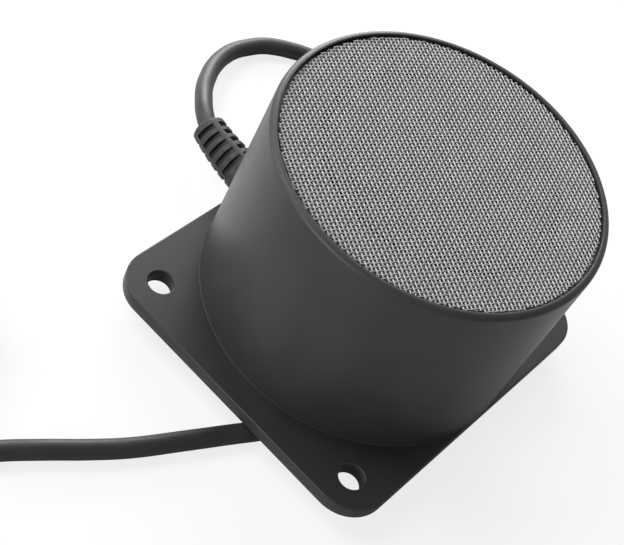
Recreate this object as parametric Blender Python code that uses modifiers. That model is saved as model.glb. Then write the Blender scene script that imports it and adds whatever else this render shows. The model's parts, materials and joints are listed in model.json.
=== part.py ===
"""Flange-mounted ultrasonic distance sensor with a woven screen and a moulded cable.

Metres, +Z up. The origin is on the housing's axis in the plane of the four seating pads.
The sensor faces +Z, and its cable leaves towards -X and lies on the table under the flange.
"""

import math

import bmesh
import bpy
from mathutils import Matrix, Vector

# Clearances
CLEARANCE = 0.0003
SCREEN_GAP = 0.0004
BOARD_GAP = 0.0008
CUP_OPENING_GAP = 0.0015

# Housing
BARREL_TOP_RADIUS = 0.0403
BARREL_BASE_RADIUS = 0.0404
HOUSING_HEIGHT = 0.0562
RIM_WALL = 0.0017
RIM_EDGE_RADIUS = 0.0013
WALL_THICKNESS = 0.0034
BULKHEAD_THICKNESS = 0.0024
ROUND_SIDES = 60

# Mounting flange
FLANGE_SIDE_MARGIN = 0.0002
FLANGE_END_MARGIN = 0.0069
FLANGE_THICKNESS = 0.0035
FLANGE_CORNER_RADIUS = 0.0099
FLANGE_EDGE_BEVEL = 0.0003
HOLE_INSET_X = 0.00895
HOLE_INSET_Y = 0.0088
HOLE_RADIUS = 0.0032
PAD_RADIUS = 0.0062
PAD_HEIGHT = 0.0005

# Woven screen
WIRE_DIAMETER = 0.0004
WIRE_PITCH = 0.00097
SCREEN_DEPTH = 0.0002
SCREEN_WEB = 0.00016
SCREEN_FRAY = 0.0004
SCREEN_GAP_MARGIN = 0.0001
SCREEN_ANGLE = math.radians(60.5)
GAP_EVERY_ACROSS = 10
GAP_EVERY_ALONG = 9

# Transducer
CUP_WALL = 0.0012
CUP_FLANGE_WIDTH = 0.0040
CUP_FLANGE_GAP = 0.0004
CUP_FLANGE_THICKNESS = 0.0017
CUP_BACK_LENGTH = 0.0084
ISOLATION_THICKNESS = 0.0030
RADIATING_THICKNESS = 0.0033
PIEZO_MARGIN = 0.0038
PIEZO_THICKNESS = 0.0020
CLAMP_THICKNESS = 0.0017

# Screws and the bosses they go into
BOSS_RADIUS = 0.0030
BOSS_SINK = 0.0004
SCREW_RADIUS = 0.0014
SCREW_HEAD_RADIUS = 0.0026
SCREW_HEAD_HEIGHT = 0.0020
SCREW_LENGTH = 0.0060
COUNTERSINK_DEPTH = 0.0012
COVER_SCREW_LENGTH = 0.0090
COVER_SCREW_ANGLES = [math.radians(a) for a in (45, 135, 225, 315)]
CLAMP_SCREW_ANGLES = [math.radians(a) for a in (30, 150, 270)]
BOARD_SCREW_ANGLES = [math.radians(a) for a in (90, 210, 330)]

# Circuit board and the parts on it
BOARD_THICKNESS = 0.0016
BOARD_HEADROOM = 0.0039
TRANSFORMER_SIZE = 0.0120
TRANSFORMER_HEIGHT = 0.0095
TRANSFORMER_PLACE = (-0.0100, 0.0090)
CAPACITOR_RADIUS = 0.0050
CAPACITOR_HEIGHT = 0.0095
CAPACITOR_PLACE = (0.0120, 0.0100)
BEAD_RADIUS = 0.0015
BEAD_MARGIN = 0.0009
BEAD_ANGLE = math.radians(-34)
CONTROLLER_SIZE = (0.0100, 0.0100, 0.0014)
CONTROLLER_PLACE = (0.0080, -0.0080)
DRIVER_SIZE = (0.0050, 0.0062, 0.0016)
DRIVER_PLACE = (0.0100, 0.0120)
REGULATOR_SIZE = (0.0066, 0.0062, 0.0023)
REGULATOR_PLACE = (-0.0060, 0.0160)
HEADER_SIZE = (0.0050, 0.0120, 0.0060)
HEADER_INSET = 0.0161

# Back cover
COVER_INSET = 0.0003
COVER_THICKNESS = 0.0018
COVER_SEAT_WALL = 0.0012
GASKET_THICKNESS = 0.0008

# Strain relief
RELIEF_HEIGHT = 0.0077
RELIEF_LENGTH = 0.0176
RELIEF_ROOT_RADIUS = 0.0054
RELIEF_TIP_RADIUS = 0.0043
RELIEF_BEND = math.radians(16)
RELIEF_NECK_RADIUS = 0.0030
RELIEF_COLLAR_RADIUS = 0.0045
RELIEF_COLLAR_THICKNESS = 0.0018
RELIEF_SLOT_WIDTH = 0.00115
RELIEF_SLOT_PITCH = 0.00275
RELIEF_FIRST_SLOT = 0.0026
RELIEF_SLOT_RINGS = 5
RELIEF_SLOT_DEPTH = 0.0013
RELIEF_SLOT_TURN = math.radians(50)
RELIEF_WEB_WIDTH = 0.0020

# Cable
CABLE_DIAMETER = 0.0047
CABLE_POINT_SPACING = 0.0095
CABLE_REST_HEIGHT = -0.00215
CABLE_ROUTE = (
    (-0.06230, 0.00560, 0.00720),
    (-0.06620, 0.00960, 0.00600),
    (-0.06970, 0.01400, 0.00430),
    (-0.07330, 0.01990, 0.00220),
    (-0.07620, 0.02590, 0.00040),
    (-0.07810, 0.03250, -0.00100),
    (-0.07840, 0.03800, -0.00180),
    (-0.07770, 0.04260, CABLE_REST_HEIGHT),
    (-0.07600, 0.04640, CABLE_REST_HEIGHT),
    (-0.07370, 0.04990, CABLE_REST_HEIGHT),
    (-0.07040, 0.05320, CABLE_REST_HEIGHT),
    (-0.06740, 0.05560, CABLE_REST_HEIGHT),
    (-0.06050, 0.05920, CABLE_REST_HEIGHT),
    (-0.05260, 0.06060, CABLE_REST_HEIGHT),
    (-0.04420, 0.05950, CABLE_REST_HEIGHT),
    (-0.03600, 0.05560, CABLE_REST_HEIGHT),
    (-0.02650, 0.04850, CABLE_REST_HEIGHT),
    (-0.01350, 0.03700, CABLE_REST_HEIGHT),
    (-0.00100, 0.02350, CABLE_REST_HEIGHT),
    (0.00930, 0.00700, CABLE_REST_HEIGHT),
    (0.01480, -0.01100, CABLE_REST_HEIGHT),
    (0.01480, -0.02800, CABLE_REST_HEIGHT),
    (0.01060, -0.04050, CABLE_REST_HEIGHT),
    (0.00520, -0.05100, CABLE_REST_HEIGHT),
    (0.00010, -0.06070, CABLE_REST_HEIGHT),
    (-0.00550, -0.07110, CABLE_REST_HEIGHT),
    (-0.01960, -0.09620, CABLE_REST_HEIGHT),
    (-0.02810, -0.11150, CABLE_REST_HEIGHT),
    (-0.03660, -0.12680, CABLE_REST_HEIGHT),
)

# Wound-up length, its tie and the stripped end
COIL_CENTRE = (-0.0701, -0.1082)
COIL_OUTER_RADIUS = 0.0357
COIL_INNER_RADIUS = 0.0163
COIL_HEIGHT = 0.0141
COIL_CORNER = 0.0020
TIE_THICKNESS = 0.0012
TIE_WIDTH = 0.0048
TIE_ANGLE = math.radians(60)
TAIL_LENGTH = 0.0350
LEAD_RADIUS = 0.0006
LEAD_LENGTH = 0.0180
LEAD_SPREAD = 0.0022
FERRULE_RADIUS = 0.0011
FERRULE_LENGTH = 0.0080
SUPPLY_LEADS = 4

# Flange sizes that follow from the barrel
FLANGE_WIDTH = 2 * (BARREL_BASE_RADIUS + FLANGE_SIDE_MARGIN)
FLANGE_LENGTH = 2 * (BARREL_BASE_RADIUS + FLANGE_END_MARGIN)
HOLE_SPACING_X = FLANGE_WIDTH - 2 * HOLE_INSET_X
HOLE_SPACING_Y = FLANGE_LENGTH - 2 * HOLE_INSET_Y

# Heights that follow from the sizes above
FLANGE_BACK = PAD_HEIGHT
FLANGE_FRONT = FLANGE_BACK + FLANGE_THICKNESS
FLANGE_MIDDLE = FLANGE_BACK + FLANGE_THICKNESS / 2
RIM_TOP = FLANGE_BACK + HOUSING_HEIGHT
COVER_BACK = FLANGE_BACK + COVER_INSET
COVER_FRONT = COVER_BACK + COVER_THICKNESS
BOSS_END = COVER_FRONT + CLEARANCE
COVER_SHOULDER = COVER_FRONT + GASKET_THICKNESS + 2 * CLEARANCE
SCREEN_THICKNESS = 2 * WIRE_DIAMETER
SCREEN_MIDDLE = RIM_TOP - SCREEN_DEPTH - SCREEN_THICKNESS / 2
LEDGE = SCREEN_MIDDLE - SCREEN_THICKNESS / 2 - CLEARANCE
BULKHEAD_BACK = LEDGE - BULKHEAD_THICKNESS
ISOLATION_FRONT = BULKHEAD_BACK - CLEARANCE
CUP_FLANGE_FRONT = ISOLATION_FRONT - ISOLATION_THICKNESS - CLEARANCE
CUP_FLANGE_BACK = CUP_FLANGE_FRONT - CUP_FLANGE_THICKNESS
CUP_FRONT = LEDGE - CLEARANCE
CUP_BACK = CUP_FLANGE_BACK - CUP_BACK_LENGTH
RADIATING_FRONT = CUP_FRONT - CLEARANCE
PIEZO_FRONT = RADIATING_FRONT - RADIATING_THICKNESS - CLEARANCE
DAMPING_FRONT = PIEZO_FRONT - PIEZO_THICKNESS - CLEARANCE
CLAMP_FRONT = CUP_FLANGE_BACK - CLEARANCE
CLAMP_BACK = CLAMP_FRONT - CLAMP_THICKNESS
TALLEST_ON_BOARD = CLEARANCE + max(TRANSFORMER_HEIGHT, CAPACITOR_HEIGHT)
BOARD_FRONT_HEIGHT = CUP_BACK - BOARD_HEADROOM - TALLEST_ON_BOARD
BOARD_BACK_HEIGHT = BOARD_FRONT_HEIGHT - BOARD_THICKNESS
TABLE = CABLE_REST_HEIGHT - CABLE_DIAMETER / 2


def barrel_radius(height):
    """Outside radius of the tapered barrel at a height."""
    share = (height - FLANGE_MIDDLE) / (RIM_TOP - RIM_EDGE_RADIUS - FLANGE_MIDDLE)
    return BARREL_BASE_RADIUS + (BARREL_TOP_RADIUS - BARREL_BASE_RADIUS) * share


def bore_radius(height):
    """Inside radius of the barrel at a height, one wall thickness in."""
    return barrel_radius(height) - WALL_THICKNESS


# Radii that follow from the barrel, from the wall inwards
RIM_INNER_RADIUS = BARREL_TOP_RADIUS - RIM_WALL
SCREEN_RADIUS = RIM_INNER_RADIUS - SCREEN_GAP
COVER_RADIUS = BARREL_BASE_RADIUS - COVER_SEAT_WALL - CLEARANCE
BORE_NARROWEST = min(bore_radius(COVER_SHOULDER), bore_radius(BULKHEAD_BACK))
BOSS_PITCH_RADIUS = BORE_NARROWEST - BOSS_RADIUS + BOSS_SINK
BOARD_RADIUS = BORE_NARROWEST - BOARD_GAP
BEAD_PITCH_RADIUS = BOSS_PITCH_RADIUS - BOSS_RADIUS - BEAD_RADIUS - BEAD_MARGIN
HEADER_PLACE = (HEADER_INSET - BOARD_RADIUS, 0.0)
CUP_FLANGE_RADIUS = BOSS_PITCH_RADIUS - BOSS_RADIUS - CUP_FLANGE_GAP
CUP_RADIUS = CUP_FLANGE_RADIUS - CUP_FLANGE_WIDTH
PIEZO_RADIUS = CUP_RADIUS - CUP_WALL - PIEZO_MARGIN
BULKHEAD_OPENING_RADIUS = CUP_RADIUS + CUP_OPENING_GAP


def clear_scene():
    for thing in list(bpy.data.objects):
        bpy.data.objects.remove(thing, do_unlink=True)


def new_collection(name):
    group = bpy.data.collections.new(name)
    bpy.context.scene.collection.children.link(group)
    return group


def make_material(name, colour, roughness, metallic=0.0):
    finish = bpy.data.materials.new(name)
    finish.use_nodes = True
    shader = finish.node_tree.nodes["Principled BSDF"]
    shader.inputs["Base Color"].default_value = (*colour, 1.0)
    shader.inputs["Roughness"].default_value = roughness
    shader.inputs["Metallic"].default_value = metallic
    finish.diffuse_color = (*colour, 1.0)
    return finish


def make_finishes():
    return {
        "housing plastic": make_material("housing plastic", (0.030, 0.030, 0.031), 0.50),
        "cable sheath": make_material("cable sheath", (0.028, 0.028, 0.028), 0.45),
        "steel wire": make_material("steel wire", (0.62, 0.62, 0.61), 0.32, 1.0),
        "screw steel": make_material("screw steel", (0.55, 0.55, 0.55), 0.35, 1.0),
        "cup aluminium": make_material("cup aluminium", (0.70, 0.70, 0.71), 0.40, 1.0),
        "soft foam": make_material("soft foam", (0.05, 0.05, 0.05), 0.95),
        "matching layer": make_material("matching layer", (0.06, 0.06, 0.065), 0.70),
        "piezo ceramic": make_material("piezo ceramic", (0.72, 0.66, 0.52), 0.50),
        "potting resin": make_material("potting resin", (0.02, 0.02, 0.022), 0.55),
        "board laminate": make_material("board laminate", (0.02, 0.16, 0.07), 0.45),
        "chip plastic": make_material("chip plastic", (0.02, 0.02, 0.02), 0.50),
        "ferrite": make_material("ferrite", (0.09, 0.09, 0.095), 0.60),
        "tinned copper": make_material("tinned copper", (0.75, 0.74, 0.72), 0.30, 1.0),
        "brown lead": make_material("brown lead", (0.14, 0.05, 0.02), 0.45),
        "blue lead": make_material("blue lead", (0.02, 0.08, 0.30), 0.45),
        "white lead": make_material("white lead", (0.75, 0.75, 0.73), 0.45),
        "black lead": make_material("black lead", (0.02, 0.02, 0.02), 0.45),
        "header nylon": make_material("header nylon", (0.80, 0.78, 0.70), 0.50),
    }


def place(name, mesh, finish=None):
    """Puts a mesh in the scene as a named piece, or as a hidden tool if it has no finish."""
    thing = bpy.data.objects.new(name, mesh)
    if finish is None:
        thing.hide_render = True
        thing.display_type = "WIRE"
        tools.objects.link(thing)
    else:
        mesh.materials.append(finishes[finish])
        parts.objects.link(thing)
    return thing


def shade_round(thing):
    thing.data.shade_smooth()
    thing.data.set_sharp_from_angle(angle=math.radians(35))


def mesh_from(name, build):
    """Makes a mesh by running build on an empty bmesh."""
    shape = bmesh.new()
    build(shape)
    bmesh.ops.recalc_face_normals(shape, faces=shape.faces)
    mesh = bpy.data.meshes.new(name)
    shape.to_mesh(mesh)
    shape.free()
    return mesh


def turned(name, profile, finish=None, sides=ROUND_SIDES, closed=False):
    """A profile of (radius, height) points swept round Z. A closed one is a ring."""
    mesh = bpy.data.meshes.new(name)
    last = len(profile)
    edges = [(i, i + 1) for i in range(last - 1)]
    if closed:
        edges.append((last - 1, 0))
    mesh.from_pydata([(radius, 0.0, height) for radius, height in profile], edges, [])
    thing = place(name, mesh, finish)
    screw = thing.modifiers.new("turn", "SCREW")
    screw.steps = sides
    screw.render_steps = sides
    screw.use_merge_vertices = True
    screw.merge_threshold = 0.00001
    screw.use_smooth_shade = True
    return thing


def boolean(thing, tool, operation):
    cut = thing.modifiers.new(tool.name, "BOOLEAN")
    cut.operation = operation
    cut.object = tool
    cut.solver = "EXACT"


def add_cylinder(shape, place_at, radius, low, high, sides):
    """Adds an upright cylinder to a bmesh."""
    height = high - low
    middle = Matrix.Translation((place_at[0], place_at[1], low + height / 2))
    bmesh.ops.create_cone(
        shape, cap_ends=True, segments=sides, radius1=radius, radius2=radius,
        depth=height, matrix=middle,
    )


def add_box(shape, middle, size, turn=None):
    """Adds a box to a bmesh, turned by a 4 x 4 matrix about its middle if one is given."""
    matrix = Matrix.Translation(middle) @ (turn or Matrix()) @ Matrix.Diagonal((*size, 1.0))
    return bmesh.ops.create_cube(shape, size=1.0, matrix=matrix)["verts"]


def on_circle(radius, angle):
    return radius * math.cos(angle), radius * math.sin(angle)


def arc(centre, radius, start, end, steps):
    """Points of an arc in a profile, angles in degrees."""
    spread = [math.radians(start + (end - start) * i / steps) for i in range(steps + 1)]
    return [(centre[0] + radius * math.cos(a), centre[1] + radius * math.sin(a)) for a in spread]


def upright_edges(shape):
    """The edges of a bmesh that run along Z."""
    return [e for e in shape.edges if abs((e.verts[0].co - e.verts[1].co).normalized().z) > 0.99]


# Housing

def flange_plate():
    """The rounded rectangular plate, with a small bevel round its faces."""
    def build(shape):
        middle = (0, 0, FLANGE_MIDDLE)
        add_box(shape, middle, (FLANGE_WIDTH, FLANGE_LENGTH, FLANGE_THICKNESS))
        bmesh.ops.bevel(
            shape, geom=upright_edges(shape), offset=FLANGE_CORNER_RADIUS, segments=7,
            profile=0.5, affect="EDGES",
        )
    plate = place("flange plate", mesh_from("flange plate", build))
    bevel = plate.modifiers.new("edge", "BEVEL")
    bevel.width = FLANGE_EDGE_BEVEL
    bevel.limit_method = "ANGLE"
    bevel.angle_limit = math.radians(60)
    return plate


def mounting_holes():
    for x in (-HOLE_SPACING_X / 2, HOLE_SPACING_X / 2):
        for y in (-HOLE_SPACING_Y / 2, HOLE_SPACING_Y / 2):
            yield x, y


def seating_pads():
    """Four low round pads that stand proud of the flange's back round its holes."""
    def build(shape):
        for spot in mounting_holes():
            add_cylinder(shape, spot, PAD_RADIUS, 0.0, FLANGE_MIDDLE, 24)
    return place("seating pads", mesh_from("seating pads", build))


def cavity():
    """Everything hollow that is round: cover seat, bore, bulkhead opening and screen seat."""
    return turned("cavity", [
        (0, RIM_TOP + WALL_THICKNESS),
        (RIM_INNER_RADIUS, RIM_TOP + WALL_THICKNESS),
        (RIM_INNER_RADIUS, LEDGE),
        (BULKHEAD_OPENING_RADIUS, LEDGE),
        (BULKHEAD_OPENING_RADIUS, BULKHEAD_BACK),
        (bore_radius(BULKHEAD_BACK), BULKHEAD_BACK),
        (bore_radius(COVER_SHOULDER), COVER_SHOULDER),
        (COVER_RADIUS + CLEARANCE, COVER_SHOULDER),
        (COVER_RADIUS + CLEARANCE, -WALL_THICKNESS),
        (0, -WALL_THICKNESS),
    ])


def screw_bosses():
    """The posts inside the bore that the cover, the clamp ring and the board screw to."""
    root = BULKHEAD_BACK + BULKHEAD_THICKNESS / 2
    ends = (
        (COVER_SCREW_ANGLES, BOSS_END),
        (CLAMP_SCREW_ANGLES, CUP_FLANGE_BACK),
        (BOARD_SCREW_ANGLES, BOARD_FRONT_HEIGHT + CLEARANCE),
    )
    def build(shape):
        for angles, end in ends:
            for angle in angles:
                spot = on_circle(BOSS_PITCH_RADIUS, angle)
                add_cylinder(shape, spot, BOSS_RADIUS, end, root, 12)
    return place("screw bosses", mesh_from("screw bosses", build))


def drilled_holes():
    """The mounting holes, the blind holes in the bosses and the hole for the strain relief."""
    pilot = SCREW_RADIUS + CLEARANCE
    depths = (
        (COVER_SCREW_ANGLES, BOSS_END, COVER_BACK + COVER_SCREW_LENGTH),
        (CLAMP_SCREW_ANGLES, CUP_FLANGE_BACK, CLAMP_BACK - CLEARANCE + SCREW_LENGTH),
        (BOARD_SCREW_ANGLES, BOARD_FRONT_HEIGHT, BOARD_BACK_HEIGHT + SCREW_LENGTH),
    )
    def build(shape):
        for spot in mounting_holes():
            add_cylinder(shape, spot, HOLE_RADIUS, -FLANGE_THICKNESS, 2 * FLANGE_FRONT, 32)
        for angles, start, end in depths:
            for angle in angles:
                spot = on_circle(BOSS_PITCH_RADIUS, angle)
                add_cylinder(shape, spot, pilot, start - CLEARANCE, end + CLEARANCE, 10)
        across = Matrix.Rotation(math.pi / 2, 4, "Y") @ Matrix.Rotation(math.pi / 24, 4, "Z")
        middle = Matrix.Translation((-barrel_radius(RELIEF_HEIGHT), 0, RELIEF_HEIGHT))
        bmesh.ops.create_cone(
            shape, cap_ends=True, segments=24, radius1=RELIEF_NECK_RADIUS + CLEARANCE,
            radius2=RELIEF_NECK_RADIUS + CLEARANCE, depth=3 * WALL_THICKNESS,
            matrix=middle @ across,
        )
    return place("drilled holes", mesh_from("drilled holes", build))


def make_housing():
    """The one-piece moulding: barrel, flange, rim, bulkhead and bosses."""
    edge = (BARREL_TOP_RADIUS - RIM_EDGE_RADIUS, RIM_TOP - RIM_EDGE_RADIUS)
    profile = [(0, RIM_TOP), *arc(edge, RIM_EDGE_RADIUS, 90, 0, 3),
               (BARREL_BASE_RADIUS, FLANGE_MIDDLE), (0, FLANGE_MIDDLE)]
    housing = turned("housing", profile, "housing plastic")
    boolean(housing, flange_plate(), "UNION")
    boolean(housing, seating_pads(), "UNION")
    boolean(housing, cavity(), "DIFFERENCE")
    boolean(housing, screw_bosses(), "UNION")
    boolean(housing, drilled_holes(), "DIFFERENCE")


# Screen

def wire_bars(name, side, turn):
    """Straight wires side by side as ridges on one face of the screen, cut to the round rim."""
    half = WIRE_DIAMETER / 2
    low, high = side * SCREEN_WEB / 8, side * SCREEN_THICKNESS / 2
    middle = (low + high) / 2
    count = int((SCREEN_RADIUS - WIRE_PITCH / 2) / WIRE_PITCH)
    def build(shape):
        for i in range(-count, count + 1):
            x = i * WIRE_PITCH
            reach = math.sqrt(SCREEN_RADIUS ** 2 - (abs(x) + half) ** 2) - SCREEN_FRAY
            for corner in add_box(shape, (x, 0, middle), (2 * half, 2 * reach, abs(high - low))):
                if side * corner.co.z > side * middle:
                    corner.co.x = x
        bmesh.ops.remove_doubles(shape, verts=shape.verts, dist=WIRE_DIAMETER / 100)
        bmesh.ops.rotate(shape, verts=shape.verts, cent=(0, 0, 0), matrix=Matrix.Rotation(turn, 3, "Z"))
    return place(name, mesh_from(name, build))


def mesh_gaps():
    """Through gaps between the wires, in every few cells so that they stay under 120."""
    cell = WIRE_PITCH - WIRE_DIAMETER - SCREEN_GAP_MARGIN
    limit = SCREEN_RADIUS - WIRE_PITCH
    across = GAP_EVERY_ACROSS * WIRE_PITCH
    along = GAP_EVERY_ALONG * WIRE_PITCH
    count = int(limit / min(across, along)) + 1
    def build(shape):
        for i in range(-count, count + 1):
            for j in range(-count, count + 1):
                x, y = i * across + WIRE_PITCH / 2, j * along + WIRE_PITCH / 2
                if math.hypot(x, y) < limit:
                    add_box(shape, (x, y, 0), (cell, cell, 2 * SCREEN_THICKNESS))
    return place("screen gaps", mesh_from("screen gaps", build))


def make_screen():
    """Wires run one way on the front and the other way on the back, joined by a thin web."""
    screen = turned("mesh_screen", [
        (0, SCREEN_WEB / 2), (SCREEN_RADIUS, SCREEN_WEB / 2),
        (SCREEN_RADIUS, -SCREEN_WEB / 2), (0, -SCREEN_WEB / 2),
    ], "steel wire")
    front = wire_bars("front wires", 1, 0.0)
    back = wire_bars("back wires", -1, math.pi / 2)
    gaps = mesh_gaps()
    boolean(screen, front, "UNION")
    boolean(screen, back, "UNION")
    boolean(screen, gaps, "DIFFERENCE")
    for thing in (screen, front, back, gaps):
        thing.location = (0, 0, SCREEN_MIDDLE)
        thing.rotation_euler = (0, 0, SCREEN_ANGLE)


# Transducer

def make_transducer():
    inside = CUP_RADIUS - CUP_WALL
    turned("transducer_cup", [
        (CUP_RADIUS, CUP_FRONT), (CUP_RADIUS, CUP_FLANGE_FRONT),
        (CUP_FLANGE_RADIUS, CUP_FLANGE_FRONT), (CUP_FLANGE_RADIUS, CUP_FLANGE_BACK),
        (CUP_RADIUS, CUP_FLANGE_BACK), (CUP_RADIUS, CUP_BACK),
        (inside, CUP_BACK), (inside, CUP_FRONT),
    ], "cup aluminium", sides=36, closed=True)
    filling = inside - CLEARANCE
    solids = (
        ("radiating_disc", filling, RADIATING_FRONT, PIEZO_FRONT + CLEARANCE, "matching layer"),
        ("piezo_disc", PIEZO_RADIUS, PIEZO_FRONT, DAMPING_FRONT + CLEARANCE, "piezo ceramic"),
        ("damping_block", filling, DAMPING_FRONT, CUP_BACK, "potting resin"),
    )
    for name, radius, high, low, finish in solids:
        turned(name, [(0, high), (radius, high), (radius, low), (0, low)], finish, sides=32)
    turned("isolation_ring", [
        (CUP_FLANGE_RADIUS, ISOLATION_FRONT),
        (CUP_FLANGE_RADIUS, ISOLATION_FRONT - ISOLATION_THICKNESS),
        (CUP_RADIUS + CLEARANCE, ISOLATION_FRONT - ISOLATION_THICKNESS),
        (CUP_RADIUS + CLEARANCE, ISOLATION_FRONT),
    ], "soft foam", sides=36, closed=True)


def make_clamp_ring():
    """A flat ring with three ears that screw to the bosses."""
    inner = CUP_RADIUS + CLEARANCE
    middle = CLAMP_BACK + CLAMP_THICKNESS / 2
    ring = turned("clamp_ring", [
        (CUP_FLANGE_RADIUS, CLAMP_FRONT), (CUP_FLANGE_RADIUS, CLAMP_BACK),
        (inner, CLAMP_BACK), (inner, CLAMP_FRONT),
    ], "cup aluminium", sides=36, closed=True)
    start = (inner + CUP_FLANGE_RADIUS) / 2
    def build_ears(shape):
        for angle in CLAMP_SCREW_ANGLES:
            turn = Matrix.Rotation(angle, 4, "Z")
            x, y = on_circle((start + BOSS_PITCH_RADIUS) / 2, angle)
            size = (BOSS_PITCH_RADIUS - start, 1.6 * SCREW_HEAD_RADIUS, CLAMP_THICKNESS / 2)
            add_box(shape, (x, y, middle), size, turn)
    def build_ends(shape):
        for angle in CLAMP_SCREW_ANGLES:
            low, high = middle - CLAMP_THICKNESS / 2, middle + CLAMP_THICKNESS / 2
            add_cylinder(shape, on_circle(BOSS_PITCH_RADIUS, angle), SCREW_HEAD_RADIUS, low, high, 16)
    def build_holes(shape):
        for angle in CLAMP_SCREW_ANGLES:
            spot = on_circle(BOSS_PITCH_RADIUS, angle)
            add_cylinder(shape, spot, SCREW_RADIUS + CLEARANCE, CLAMP_BACK - CLAMP_THICKNESS,
                         CLAMP_FRONT + CLAMP_THICKNESS, 12)
    boolean(ring, place("clamp ears", mesh_from("clamp ears", build_ears)), "UNION")
    boolean(ring, place("clamp ear ends", mesh_from("clamp ear ends", build_ends)), "UNION")
    boolean(ring, place("clamp holes", mesh_from("clamp holes", build_holes)), "DIFFERENCE")


def make_screws(name, angles, seat, shape_points):
    """Screws that stand in the bosses with their heads towards the back."""
    for number, angle in enumerate(angles, start=1):
        screw = turned(f"{name}_{number}", shape_points, "screw steel", sides=10)
        x, y = on_circle(BOSS_PITCH_RADIUS, angle)
        screw.location = (x, y, seat)


def pan_head_screw():
    return [
        (0, SCREW_LENGTH), (SCREW_RADIUS, SCREW_LENGTH), (SCREW_RADIUS, 0),
        (SCREW_HEAD_RADIUS, 0), (SCREW_HEAD_RADIUS, -SCREW_HEAD_HEIGHT / 2),
        (SCREW_HEAD_RADIUS * 0.7, -SCREW_HEAD_HEIGHT), (0, -SCREW_HEAD_HEIGHT),
    ]


def countersunk_screw():
    return [
        (0, COVER_SCREW_LENGTH), (SCREW_RADIUS, COVER_SCREW_LENGTH),
        (SCREW_RADIUS, COUNTERSINK_DEPTH), (SCREW_HEAD_RADIUS, 0), (0, 0),
    ]


# Circuit board

def make_board():
    """A round board with a notch round each long boss and a hole for each board screw."""
    board = turned("circuit_board", [
        (0, BOARD_FRONT_HEIGHT), (BOARD_RADIUS, BOARD_FRONT_HEIGHT),
        (BOARD_RADIUS, BOARD_BACK_HEIGHT), (0, BOARD_BACK_HEIGHT),
    ], "board laminate", sides=36)
    low, high = BOARD_BACK_HEIGHT - BOARD_THICKNESS, BOARD_FRONT_HEIGHT + BOARD_THICKNESS
    def build(shape):
        for angle in COVER_SCREW_ANGLES:
            spot = on_circle(BOSS_PITCH_RADIUS, angle)
            add_cylinder(shape, spot, BOSS_RADIUS + 2 * CLEARANCE, low, high, 16)
        for angle in BOARD_SCREW_ANGLES:
            spot = on_circle(BOSS_PITCH_RADIUS, angle)
            add_cylinder(shape, spot, SCREW_RADIUS + CLEARANCE, low, high, 12)
    boolean(board, place("board cut-outs", mesh_from("board cut-outs", build)), "DIFFERENCE")


def make_chip(name, size, spot, finish):
    """A flat package under the board, with a bevelled body."""
    top = BOARD_BACK_HEIGHT - CLEARANCE
    def build(shape):
        add_box(shape, (*spot, top - size[2] / 2), size)
        bmesh.ops.bevel(shape, geom=shape.edges[:], offset=size[2] / 6, segments=1, affect="EDGES")
    place(name, mesh_from(name, build), finish)


def make_transformer():
    """A ferrite core with its winding between two flanges."""
    low = BOARD_FRONT_HEIGHT + CLEARANCE
    half = TRANSFORMER_SIZE / 2
    plate = TRANSFORMER_HEIGHT / 5
    transformer = turned("step_up_transformer", [
        (0, low + TRANSFORMER_HEIGHT), (half, low + TRANSFORMER_HEIGHT),
        (half, low + TRANSFORMER_HEIGHT - plate), (half * 0.75, low + TRANSFORMER_HEIGHT - plate),
        (half * 0.75, low + plate), (half, low + plate), (half, low), (0, low),
    ], "ferrite", sides=24)
    transformer.location = (*TRANSFORMER_PLACE, 0)


def make_capacitor():
    """An aluminium can with the crimp groove near its foot."""
    low = BOARD_FRONT_HEIGHT + CLEARANCE
    groove = CAPACITOR_HEIGHT * 0.2
    capacitor = turned("reservoir_capacitor", [
        (0, low + CAPACITOR_HEIGHT), (CAPACITOR_RADIUS * 0.9, low + CAPACITOR_HEIGHT),
        (CAPACITOR_RADIUS, low + CAPACITOR_HEIGHT * 0.95), (CAPACITOR_RADIUS, low + groove * 1.3),
        (CAPACITOR_RADIUS * 0.9, low + groove), (CAPACITOR_RADIUS, low + groove * 0.7),
        (CAPACITOR_RADIUS, low), (0, low),
    ], "chip plastic", sides=20)
    capacitor.location = (*CAPACITOR_PLACE, 0)


def make_bead():
    """The thermistor that corrects for air temperature, on its short foot."""
    low = BOARD_FRONT_HEIGHT + CLEARANCE
    middle = low + 2 * BEAD_RADIUS
    bead = turned("temperature_bead", [
        *[(max(r, 0.0), z) for r, z in arc((0, middle), BEAD_RADIUS, 90, -60, 6)],
        (BEAD_RADIUS / 2, low), (0, low),
    ], "chip plastic", sides=12)
    bead.location = (*on_circle(BEAD_PITCH_RADIUS, BEAD_ANGLE), 0)


def make_header():
    """The socket under the board that the supply leads plug into."""
    top = BOARD_BACK_HEIGHT - CLEARANCE
    length, width, height = HEADER_SIZE
    def build(shape):
        add_box(shape, (*HEADER_PLACE, top - height / 2), (length, width, height))
    header = place("lead_header", mesh_from("lead_header", build), "header nylon")
    def build_sockets(shape):
        for y in supply_lead_places():
            middle = (HEADER_PLACE[0] - length / 2, y, top - height / 2)
            add_box(shape, middle, (length / 2, width / 8, height / 2))
    boolean(header, place("header sockets", mesh_from("header sockets", build_sockets)), "DIFFERENCE")


# Wires, leads and cable

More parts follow.
